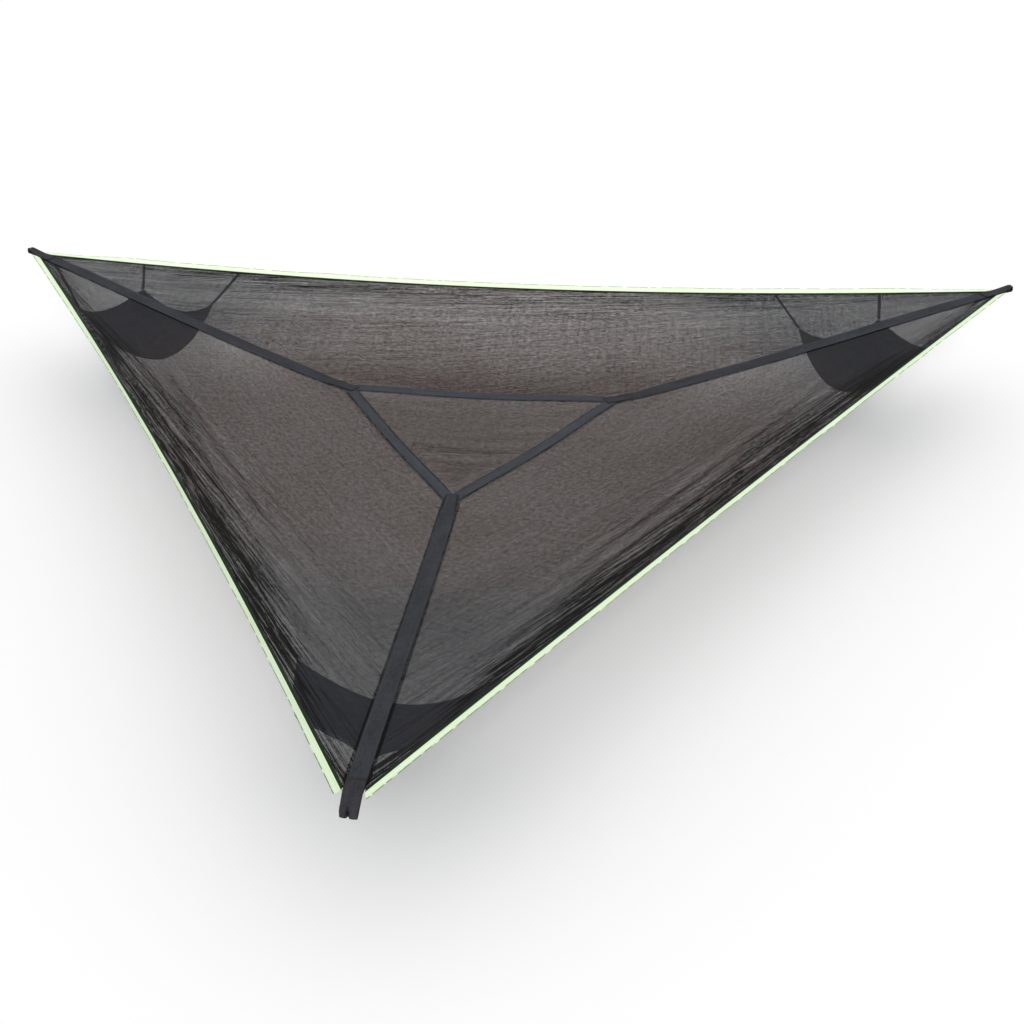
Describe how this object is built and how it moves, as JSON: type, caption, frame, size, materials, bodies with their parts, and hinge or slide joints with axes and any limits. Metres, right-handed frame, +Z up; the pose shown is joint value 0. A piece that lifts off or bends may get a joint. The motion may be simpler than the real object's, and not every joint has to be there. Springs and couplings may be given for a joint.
{
  "type": "triangle hammock",
  "caption": "Three-cornered net hammock bed with webbing spokes, a centre triangle, taped edges, corner loops and a gear sling hung under each corner.",
  "frame": {"origin": "midway between the net's three corners, at the height of the corners", "axes": "+Z up, +X along the back edge towards the right corner, the front corner on -Y"},
  "size_m": [3.9682, 3.4366, 0.2933],
  "materials": {
    "net_side": "see-through warp-knit netting, matt",
    "net_centre": "see-through warp-knit netting, matt",
    "hem": "dark folded binding tape, matt",
    "edge_tape": "pale lime flat tape, matt",
    "spoke_strap": "charcoal polyester webbing, matt",
    "centre_strap": "bluish charcoal polyester webbing, matt",
    "loop_tab": "charcoal polyester webbing, matt",
    "loop_eye": "charcoal polyester webbing, matt",
    "gear_sling": "dark thin cloth, matt",
    "sling_tie": "black narrow tape, matt"
  },
  "bodies": {
    "bed": {"net_back": "net_side", "net_left": "net_side", "net_right": "net_side", "net_centre": "net_centre", "hem_back": "hem", "hem_left": "hem", "hem_right": "hem", "edge_tape_back": "edge_tape", "edge_tape_left": "edge_tape", "edge_tape_right": "edge_tape", "centre_strap_back": "centre_strap", "centre_strap_left": "centre_strap", "centre_strap_right": "centre_strap", "spoke_strap_front": "spoke_strap", "loop_tab_front": "loop_tab", "spoke_strap_right": "spoke_strap", "loop_tab_right": "loop_tab", "spoke_strap_left": "spoke_strap", "loop_tab_left": "loop_tab", "sling_tie_front_slack_near": "sling_tie", "sling_tie_front_slack_far": "sling_tie", "sling_tie_front_tight_near": "sling_tie", "sling_tie_front_tight_far": "sling_tie", "sling_tie_right_slack_near": "sling_tie", "sling_tie_right_slack_far": "sling_tie", "sling_tie_right_tight_near": "sling_tie", "sling_tie_right_tight_far": "sling_tie", "sling_tie_left_slack_near": "sling_tie", "sling_tie_left_slack_far": "sling_tie", "sling_tie_left_tight_near": "sling_tie", "sling_tie_left_tight_far": "sling_tie"},
    "loop_front": {"loop_eye_front": "loop_eye"},
    "loop_right": {"loop_eye_right": "loop_eye"},
    "loop_left": {"loop_eye_left": "loop_eye"},
    "sling_front": {"gear_sling_front": "gear_sling"},
    "sling_right": {"gear_sling_right": "gear_sling"},
    "sling_left": {"gear_sling_left": "gear_sling"}
  },
  "joints": [
    {"name": "loop_front_flex", "type": "hinge", "parent": "bed", "child": "loop_front", "pos_m": [0, -2.19151, -0.00323], "axis": [-1, 0, 0], "range_deg": [-60, 60], "stiffness_Nm_per_rad": 0.3},
    {"name": "loop_right_flex", "type": "hinge", "parent": "bed", "child": "loop_right", "pos_m": [1.8979, 1.09576, -0.00323], "axis": [0.5, -0.866, 0], "range_deg": [-60, 60], "stiffness_Nm_per_rad": 0.3},
    {"name": "loop_left_flex", "type": "hinge", "parent": "bed", "child": "loop_left", "pos_m": [-1.8979, 1.09576, -0.00323], "axis": [0.5, 0.866, 0], "range_deg": [-60, 60], "stiffness_Nm_per_rad": 0.3},
    {"name": "sling_front_lift", "type": "slide", "parent": "bed", "child": "sling_front", "axis": [0, 0, 1], "range_m": [0, 0.05], "deforming": ["sling_tie_front_slack_near", "sling_tie_front_slack_far", "sling_tie_front_tight_near", "sling_tie_front_tight_far"]},
    {"name": "sling_right_lift", "type": "slide", "parent": "bed", "child": "sling_right", "axis": [0, 0, 1], "range_m": [0, 0.05], "deforming": ["sling_tie_right_slack_near", "sling_tie_right_slack_far", "sling_tie_right_tight_near", "sling_tie_right_tight_far"]},
    {"name": "sling_left_lift", "type": "slide", "parent": "bed", "child": "sling_left", "axis": [0, 0, 1], "range_m": [0, 0.05], "deforming": ["sling_tie_left_slack_near", "sling_tie_left_slack_far", "sling_tie_left_tight_near", "sling_tie_left_tight_far"]}
  ]
}
